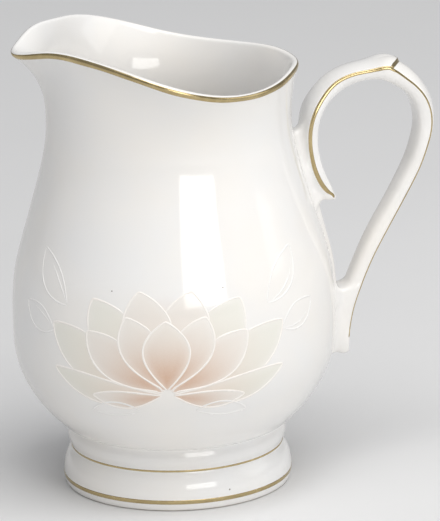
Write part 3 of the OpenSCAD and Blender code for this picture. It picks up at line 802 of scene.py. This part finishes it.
def gilt_sheet(name, node, g, closed_ends=True, lift=0.05, flip=False):
    """A closed strip of gold on the handle's surface from a grid of points near it; its edges sink into the glaze."""
    across, n = g.shape[:2]
    flat = settle(handle_field, g.reshape(-1, 3), 5, 0.6)
    nr = grad(handle_field, flat)
    nr /= np.linalg.norm(nr, axis=1, keepdims=True)
    edge = np.ones((across, n))
    edge[0] = edge[-1] = 0
    if closed_ends:
        edge[:, 0] = edge[:, -1] = 0
    e = edge.reshape(-1)[:, None]
    up = flat + nr * (lift * e - 0.012 * (1 - e))
    dn = flat - nr * 0.08
    v, f = shell(up.reshape(g.shape), dn.reshape(g.shape))
    ob = make(name, v, f[:, ::-1] if flip else f, mat_gold)
    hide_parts(node)
    return ob


def handle_strip(name, node, side, s0, s1, width, centre, across=9):
    n = int((s1 - s0) / 0.4)
    s = np.linspace(s0, s1, n)
    i = np.clip(np.round(s / st_ds), 0, NST - 1).astype(int)
    walk = edge_walk(i, side)
    rows = [walk(centre(s) + width(s) / 2 * (2 * k / (across - 1) - 1)) for k in range(across)]
    return gilt_sheet(name, node, np.stack(rows), flip=side > 0)


def build_crest():
    """The chevron over the crest: two arms that meet in a point on the middle of the strap."""
    n, across = 61, 7
    y = np.linspace(-1, 1, n)
    rows = []
    for k in range(across):
        f = 2 * k / (across - 1) - 1
        yy = np.abs(y)
        s = CREST_S + 2.1 * (1 - yy**1.2) + 0.45 + 0.45 * f
        i = np.clip(np.round(s / st_ds), 0, NST - 1).astype(int)
        hw = st_hw[i] - 0.15
        p = st_c[i] + st_n[i] * (st_ht[i] + st_cr[i] * (1 - y**2) + crest(s, yy))[:, None]
        rows.append(np.stack([p[:, 0], y * hw, p[:, 1]], -1))
    return gilt_sheet("crest_chevron_gilt", "crest_gilt_mark", np.stack(rows), flip=True)


# ---------------------------------------------------------------- lip gilding

def build_lip_gilt():
    n = 512
    ang = np.arange(n) * 360.0 / n
    rows = []
    n1 = surf_n(ang, np.full(n, 0.9995))
    p1 = surf(ang, np.full(n, 1.0))
    c = p1 - n1 * LIP_WALL / 2
    up = np.array([0, 0, 1.0]) - n1 * n1[:, 2:]
    up /= np.linalg.norm(up, axis=1, keepdims=True)
    wob = 0.05 * np.sin(np.radians(ang * 7 + 20)) + 0.035 * np.sin(np.radians(ang * 17))
    drops = (0.42, 0.36, 0.2, 0.08)
    turns = np.radians([10, 22, 34, 46, 57, 64, 68])
    for dz in drops:
        rows.append(surf(ang, 1 - (dz + wob * (dz > 0.3)) / (lip_h(ang) - FOOT_H) * 0.97))
    rows.append(p1)
    for f in turns:
        rows.append(c + LIP_WALL / 2 * (n1 * np.cos(f) + up * np.sin(f)))
    g = np.stack(rows)
    m = len(g)
    lift = np.full(m, 0.05)
    lift[0] = lift[-1] = -0.012
    nn = np.stack([surf_n(ang, np.full(n, 0.9995))] * m)
    for k, f in enumerate(turns):
        nn[len(drops) + 1 + k] = n1 * np.cos(f) + up * np.sin(f)
    top = g + nn * lift[:, None, None]
    low = g - nn * 0.07
    v, f = loop_band(top, low)
    ob = make("lip_gilt", v, f, mat_gold)
    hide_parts("lip_gilt_line")
    return ob


# ---------------------------------------------------------------- flower

FLOWER_A, FLOWER_Z, ARC = 255.0, 45.0, 38.5


def sa(s):
    return FLOWER_A + np.degrees(np.asarray(s) / ARC)


P_ROOT = np.array([0.615, 0.37, 0.235])
P_WARM = np.array([0.755, 0.60, 0.50])
P_CREAM = np.array([0.80, 0.74, 0.665])
P_GREEN = np.array([0.785, 0.775, 0.68])
P_WHITE = np.array([0.85, 0.82, 0.77])


def petal(root, tip, half, bend=0.0, full=0.55, root_w=0.12, lean=0.0, n=90):
    """Outline of one petal: a lens about a bent axis from root to tip. full is where it is widest; lean makes one side fuller."""
    root, tip = np.array(root, float), np.array(tip, float)
    ax = tip - root
    ln = np.linalg.norm(ax)
    e = ax / ln
    nrm = np.array([-e[1], e[0]])
    t = np.linspace(0, 1, n)
    k = math.log(0.5) / math.log(full)
    w = np.sin(np.pi * t**k) ** 0.78
    w = np.maximum(w, root_w * (1 - t) * np.minimum(1, t * 30))
    axis = root[None] + ax[None] * t[:, None] + nrm[None] * (bend * ln * np.sin(np.pi * t) * 0.5)[:, None]
    d = np.gradient(axis, axis=0)
    d /= np.linalg.norm(d, axis=1, keepdims=True)
    q = np.stack([-d[:, 1], d[:, 0]], -1)
    left = axis + q * (half * w * (1 + lean))[:, None]
    right = axis - q * (half * w * (1 - lean))[:, None]
    return np.concatenate([left, right[::-1][1:-1]]), axis


# a plain open flower: rows of petals fanned evenly and mirrored about the middle, back to front. r root, t tip, h half width (mm to
# the right of and above the flower's centre, along the surface), b bend, f where it is widest, c root and tip colours, s strength at
# the tip, o how much of each side's outline is drawn, p how fast the colour changes
def fan(angle, length, half, bend, full, tones, fade, pace=0.9):
    e = np.array([math.cos(math.radians(angle)), math.sin(math.radians(angle))])
    root = np.array([0.0, -11.0])
    return dict(r=tuple(root + 1.5 * e), t=tuple(root + length * e), h=half, b=bend, f=full, l=0, c=tones, s=fade, o=(0.98, 0.98), p=pace)


def pair(angle, length, half, bend, full, tones, fade, pace=0.9):
    return [fan(angle, length, half, -bend, full, tones, fade, pace), fan(180 - angle, length, half, bend, full, tones, fade, pace)]


PETALS = [dict(r=(0, -9), t=(0, 17), h=7.5, b=0, f=0.5, l=0, c=(P_ROOT, P_WARM), s=0.0, o=None, p=0.7)]
PETALS += pair(28, 34, 5.5, 0.1, 0.62, (P_WARM, P_GREEN), 0.6)
PETALS += pair(52, 30, 6.0, 0.06, 0.62, (P_WARM, P_GREEN), 0.6)
PETALS += pair(76, 27, 6.0, 0.02, 0.62, (P_WARM, P_CREAM), 0.55)
PETALS += pair(38, 25, 4.8, 0.08, 0.6, (P_ROOT, P_CREAM), 0.6)
PETALS += pair(64, 22, 4.8, 0.04, 0.6, (P_ROOT, P_CREAM), 0.6)
PETALS += pair(9, 30, 3.4, 0.16, 0.55, (P_WARM, P_GREEN), 0.7)
PETALS += [fan(90, 19, 5.6, 0, 0.55, (P_ROOT, P_CREAM), 0.75)]
PETALS += pair(-3, 19, 2.3, 0.12, 0.55, (P_ROOT, P_CREAM), 0.7)
# leaves in raised white line: root, tip, half width, bend, whether there is a second line inside
LEAVES = []
for m in (-1, 1):
    LEAVES += [((26 * m, 10), (37 * m, 22), 3.4, -0.1 * m, 1), ((30 * m, 3), (41 * m, 8), 3.2, -0.1 * m, 1),
               ((7 * m, -15.5), (20 * m, -16.5), 1.9, 0.1 * m, 0)]


def inside(poly, x, y):
    """Even-odd test for many points."""
    px, py = poly[:, 0], poly[:, 1]
    qx, qy = np.roll(px, -1), np.roll(py, -1)
    res = np.zeros(x.shape, bool)
    for a, b, c, d in zip(px, py, qx, qy):
        if b == d:
            continue
        hit = (b > y) != (d > y)
        res ^= hit & (x < (c - a) * (y - b) / (d - b) + a)
    return res


def edge_distance(poly, x, y):
    best = np.full(x.shape, 1e9)
    q = np.roll(poly, -1, 0)
    for (a, b), (c, d) in zip(poly, q):
        l2 = (c - a) ** 2 + (d - b) ** 2
        if l2 < 1e-12:
            continue
        t = np.clip(((x - a) * (c - a) + (y - b) * (d - b)) / l2, 0, 1)
        best = np.minimum(best, (x - a - t * (c - a)) ** 2 + (y - b - t * (d - b)) ** 2)
    return np.sqrt(best)


def paint(s, t):
    """Colour and strength of the print at each point."""
    col = np.tile(np.array(PORCELAIN), s.shape + (1,))
    al = np.zeros(s.shape)
    for i, p in enumerate(PETALS):
        poly, _ = petal(p["r"], p["t"], p["h"], p["b"], p["f"], lean=p["l"])
        ins = inside(poly, s, t)
        if not ins.any():
            continue
        x, y = s[ins], t[ins]
        r, tip = np.array(p["r"], float), np.array(p["t"], float)
        c0, c1 = p["c"]
        ax = tip - r
        ln = np.linalg.norm(ax)
        along = ((x - r[0]) * ax[0] + (y - r[1]) * ax[1]) / ln**2
        side = ((x - r[0]) * -ax[1] + (y - r[1]) * ax[0]) / ln**2
        ed = edge_distance(poly, x, y)
        # streaks that run from the root to the tip
        vein = 0.5 + 0.5 * np.sin(side / np.maximum(0.25, 0.4 + along) * 46 + i * 1.7) * np.sin(side * 19 + i)
        g = smooth(np.clip(along, 0, 1) ** p["p"])
        c = c0[None] * (1 - g[:, None]) + c1[None] * g[:, None]
        c = c + (vein[:, None] - 0.5) * 0.022 * (1 - g[:, None])
        # the far edges lighten before the outline
        rim = np.exp(-(ed / 1.3) ** 2)[:, None]
        c = c * (1 - 0.35 * rim) + np.array([0.88, 0.85, 0.80])[None] * 0.35 * rim
        strength = 1 - (1 - p["s"]) * g
        if p["o"] is None:
            strength = (1 - smooth((along - 0.25) / 0.75)) * smooth(ed / 3.0)
            base_c, base_a = col[ins], al[ins]
            col[ins] = np.where(base_a[:, None] > 0, base_c * (1 - strength[:, None]) + c * strength[:, None], c)
            al[ins] = np.maximum(base_a, strength)
        else:
            col[ins] = c
            al[ins] = np.clip(strength, 0, 1) * (0.55 + 0.45 * smooth(ed / 0.5))
    return np.clip(col, 0, 1), np.clip(al, 0, 1)


def build_flower():
    cols, rows = ((300, 190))
    x, y = np.meshgrid(np.linspace(-1, 1, cols), np.linspace(-1, 1, rows))
    s = 38.0 * x * np.sqrt(1 - y**2 / 2)
    t = 18.5 * y * np.sqrt(1 - x**2 / 2) + 1.5
    col, al = paint(s, t)
    a, z = sa(s), FLOWER_Z + t
    inner = np.minimum(np.minimum(1 - np.abs(x), 1 - np.abs(y)) / 0.16, 1)
    top = on(a, z, -0.03 + 0.045 * smooth(inner))
    low = on(a, z, np.full(a.shape, -0.09))
    v, f = shell(top, low)
    ob = make("flower_print", v, f, mat_print)
    layer = ob.data.color_attributes.new("print", "FLOAT_COLOR", "POINT")
    rgba = np.concatenate([np.concatenate([col, al[..., None]], -1).reshape(-1, 4)] * 2)
    layer.data.foreach_set("color", rgba.astype(np.float32).ravel())
    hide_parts("flower_transfer")
    return ob


def ribbon(path, width, height, taper=3.0):
    """A raised line of enamel along a path of (s, t), thin at its ends."""
    p = np.asarray(path, float)
    seg = np.linalg.norm(np.diff(p, axis=0), axis=1)
    keep = np.r_[True, seg > 1e-6]
    p = p[keep]
    d = np.r_[0, np.cumsum(np.linalg.norm(np.diff(p, axis=0), axis=1))]
    n = max(6, int(d[-1] / 0.4))
    sx = np.linspace(0, d[-1], n)
    p = np.stack([np.interp(sx, d, p[:, 0]), np.interp(sx, d, p[:, 1])], -1)
    tan = np.gradient(p, axis=0)
    tan /= np.linalg.norm(tan, axis=1, keepdims=True)
    nor = np.stack([-tan[:, 1], tan[:, 0]], -1)
    w = width / 2 * (0.35 + 0.65 * smooth(np.minimum(sx, d[-1] - sx) / taper)) * (1 + 0.12 * np.sin(sx * 0.9 + p[0, 0]))
    h = height * (0.3 + 0.7 * smooth(np.minimum(sx, d[-1] - sx) / taper))
    ks = np.linspace(-1, 1, 7)
    q = p[None] + nor[None] * (ks[:, None, None] * w[None, :, None])
    lift = 0.01 + h[None] * np.sqrt(np.clip(1 - ks[:, None] ** 2, 0, 1)) ** 1.3
    top = on(sa(q[..., 0]), FLOWER_Z + q[..., 1], lift)
    low = on(sa(q[..., 0]), FLOWER_Z + q[..., 1], np.full(lift.shape, -0.06))
    v, f = shell(top, low)
    return v, f[:, ::-1]


def join_parts(parts):
    vs, fs, base = [], [], 0
    for v, f in parts:
        vs.append(v)
        fs.append(f + base)
        base += len(v)
    return np.concatenate(vs), np.concatenate(fs)


def runs(mask):
    """Start and end of each run of True."""
    m = np.r_[False, mask, False].astype(int)
    return list(zip(np.where(np.diff(m) == 1)[0], np.where(np.diff(m) == -1)[0]))


def build_enamel():
    parts = []
    shapes = [petal(p["r"], p["t"], p["h"], p["b"], p["f"], lean=p["l"]) for p in PETALS]
    for k, p in enumerate(PETALS):
        if p["o"] is None:
            continue
        poly, axis = shapes[k]
        n = len(axis)
        left, right = poly[:n], np.concatenate([poly[:1], poly[n:][::-1], poly[n - 1:n]])
        paths = [np.concatenate([left, right[::-1][1:]])] if min(p["o"]) > 0.9 else [
            path[:int(n * share)] for path, share in ((left, p["o"][0]), (right, p["o"][1])) if share > 0]
        for path in paths:
            d = np.r_[0, np.cumsum(np.linalg.norm(np.diff(path, axis=0), axis=1))]
            sx = np.linspace(0, d[-1], max(12, int(d[-1] / 0.2)))
            q = np.stack([np.interp(sx, d, path[:, 0]), np.interp(sx, d, path[:, 1])], -1)
            seen = np.ones(len(q), bool)
            for later in shapes[k + 1:]:
                seen &= ~inside(later[0], q[:, 0], q[:, 1])
            for a, b in runs(seen):
                if b - a > 7:
                    parts.append(ribbon(q[a:b], 0.46, 0.08, 1.6))
    v, f = join_parts(parts)
    ob = make("petal_outline_enamel", v, f, mat_pink)
    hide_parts("petal_enamel")
    parts = []
    for root, tip, half, bend, inner in LEAVES:
        poly, axis = petal(root, tip, half, bend, 0.5)
        n = len(axis)
        parts.append(ribbon(np.concatenate([poly, poly[:1]]), 0.46, 0.075, 1.5))
        if inner:
            mid = np.stack([axis[:, 0], axis[:, 1]], -1) * 0.45 + 0.55 * np.concatenate([poly[:1], poly[n:][::-1], poly[n - 1:n]])
            parts.append(ribbon(mid[: int(n * 0.7)], 0.38, 0.06, 4.0))
    v, f = join_parts(parts)
    ob = make("leaf_line_enamel", v, f, mat_white)
    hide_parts("leaf_enamel")


# ---------------------------------------------------------------- build everything

build_body()
build_foot()
build_handle()
s_line = foot_s_at(10.0)
profile_band(s_line - 0.26, s_line + 0.26, 0.05, 7, name="foot_waist_gilt", node="foot_gilt_line")
s_band = foot_s_at(2.5)
profile_band(s_band - 0.56, s_band + 0.56, 0.05, 11, name="foot_band_gilt", node="foot_gilt_band")
build_lip_gilt()
def g_width(s):
    return np.interp(s, [0.5, 4, 12, 30, CREST_S - 3, CREST_S + 3, 100, 150], [0.7, 1.1, 1.3, 1.35, 1.15, 0.6, 0.55, 0.5])


def g_centre(s):
    return np.interp(s, [0.5, 12, 34, CREST_S - 3, CREST_S + 3, 100, 150], [0.1, 0.35, 0.3, 0.25, 0.15, 0.1, 0.1])


handle_strip("strap_gilt_near", "handle_gilt_front", -1, 0.5, strap_len - 4.0, g_width, g_centre)
handle_strip("strap_gilt_far", "handle_gilt_back", 1, 0.5, strap_len - 4.0, g_width, g_centre)
build_crest()
build_flower()
build_enamel()
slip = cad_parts["foot_luting_slip"]
slip.data.materials.clear()
slip.data.materials.append(mat_slip)

# ---------------------------------------------------------------- stage, light and camera

def stage_material(name, colour, rough):
    k = Nodes(name)
    k.link(k.mix(k.ramp(k.noise(9.0, 3.0, 0.5), 0.3, 0.7), colour, tuple(c * 0.975 for c in colour)), k.p.inputs["Base Color"])
    k.p.inputs["Roughness"].default_value = rough
    return k.m


def build_stage():
    """A plain wide floor."""
    n = 96
    v = [(0.0, 0.0, 0.0)] + [(14.0 * math.cos(2 * math.pi * i / n), 14.0 * math.sin(2 * math.pi * i / n), 0.0) for i in range(n)]
    me = bpy.data.meshes.new("studio_floor")
    me.from_pydata(v, [], [(0, i + 1, (i + 1) % n + 1) for i in range(n)])
    me.update()
    ob = bpy.data.objects.new("studio_floor", me)
    bpy.context.scene.collection.objects.link(ob)
    me.materials.append(stage_material("floor_paper", (0.74, 0.74, 0.74), 0.75))


def area(name, az, el, dist, w, h, power, colour=(1, 1, 1), aim=(0, 0, 0.055)):
    """A soft rectangular light at a direction seen from the jug: az in degrees as in the CAD frame."""
    a, e = math.radians(az), math.radians(el)
    d = Vector((math.cos(a) * math.cos(e), math.sin(a) * math.cos(e), math.sin(e)))
    li = bpy.data.lights.new(name, "AREA")
    li.shape = "RECTANGLE"
    li.size, li.size_y = w, h
    li.energy = power
    li.color = colour
    ob = bpy.data.objects.new(name, li)
    ob.location = Vector(aim) + d * dist
    ob.rotation_euler = (-d).to_track_quat("-Z", "Y").to_euler()
    bpy.context.scene.collection.objects.link(ob)
    return ob


build_stage()
area("front_softbox", 281, 12, 1.0, 0.54, 0.27, 2.3, (1.0, 0.985, 0.96))
area("overhead_softbox", 300, 68, 1.3, 1.1, 0.9, 11.0, (1.0, 0.99, 0.975))
area("left_softbox", 225, 62, 1.4, 0.9, 0.7, 3.4, (1.0, 0.99, 0.98))
area("right_fill", 350, 25, 1.5, 0.8, 1.0, 2.4, (0.98, 0.99, 1.0))
world = bpy.data.worlds.new("studio")
world.use_nodes = True
world.node_tree.nodes["Background"].inputs[0].default_value = (0.72, 0.73, 0.755, 1)
world.node_tree.nodes["Background"].inputs[1].default_value = 0.46
bpy.context.scene.world = world

AZ, EL, ROLL, DIST, FPX, CX, CY = -12.0, 16.74, -1.53, 2.0, 8000.0, 172.4, 259.6


def build_camera():
    a, e, rho = math.radians(AZ), math.radians(EL), math.radians(ROLL)
    d = Vector((math.sin(a) * math.cos(e), -math.cos(a) * math.cos(e), math.sin(e)))
    fwd = -d
    right = Vector((math.cos(a), math.sin(a), 0))
    up = right.cross(fwd)
    r2 = right * math.cos(rho) + up * math.sin(rho)
    u2 = up * math.cos(rho) - right * math.sin(rho)
    # turn the camera so that the middle of the frame is on its axis
    f3 = (fwd + r2 * ((220 - CX) / FPX) - u2 * ((260.5 - CY) / FPX)).normalized()
    r3 = (r2 - f3 * r2.dot(f3)).normalized()
    u3 = r3.cross(f3)
    cam = bpy.data.cameras.new("camera")
    cam.sensor_fit = "HORIZONTAL"
    cam.sensor_width = 36.0
    cam.lens = 36.0 * FPX / 440.0
    cam.clip_start, cam.clip_end = 0.05, 20
    ob = bpy.data.objects.new("camera", cam)
    m = Matrix((r3, u3, -f3)).transposed().to_4x4()
    m.translation = Vector((0, 0, 0.057)) + d * DIST
    ob.matrix_world = m
    bpy.context.scene.collection.objects.link(ob)
    bpy.context.scene.camera = ob


build_camera()
bpy.context.scene.view_settings.view_transform = "Standard"

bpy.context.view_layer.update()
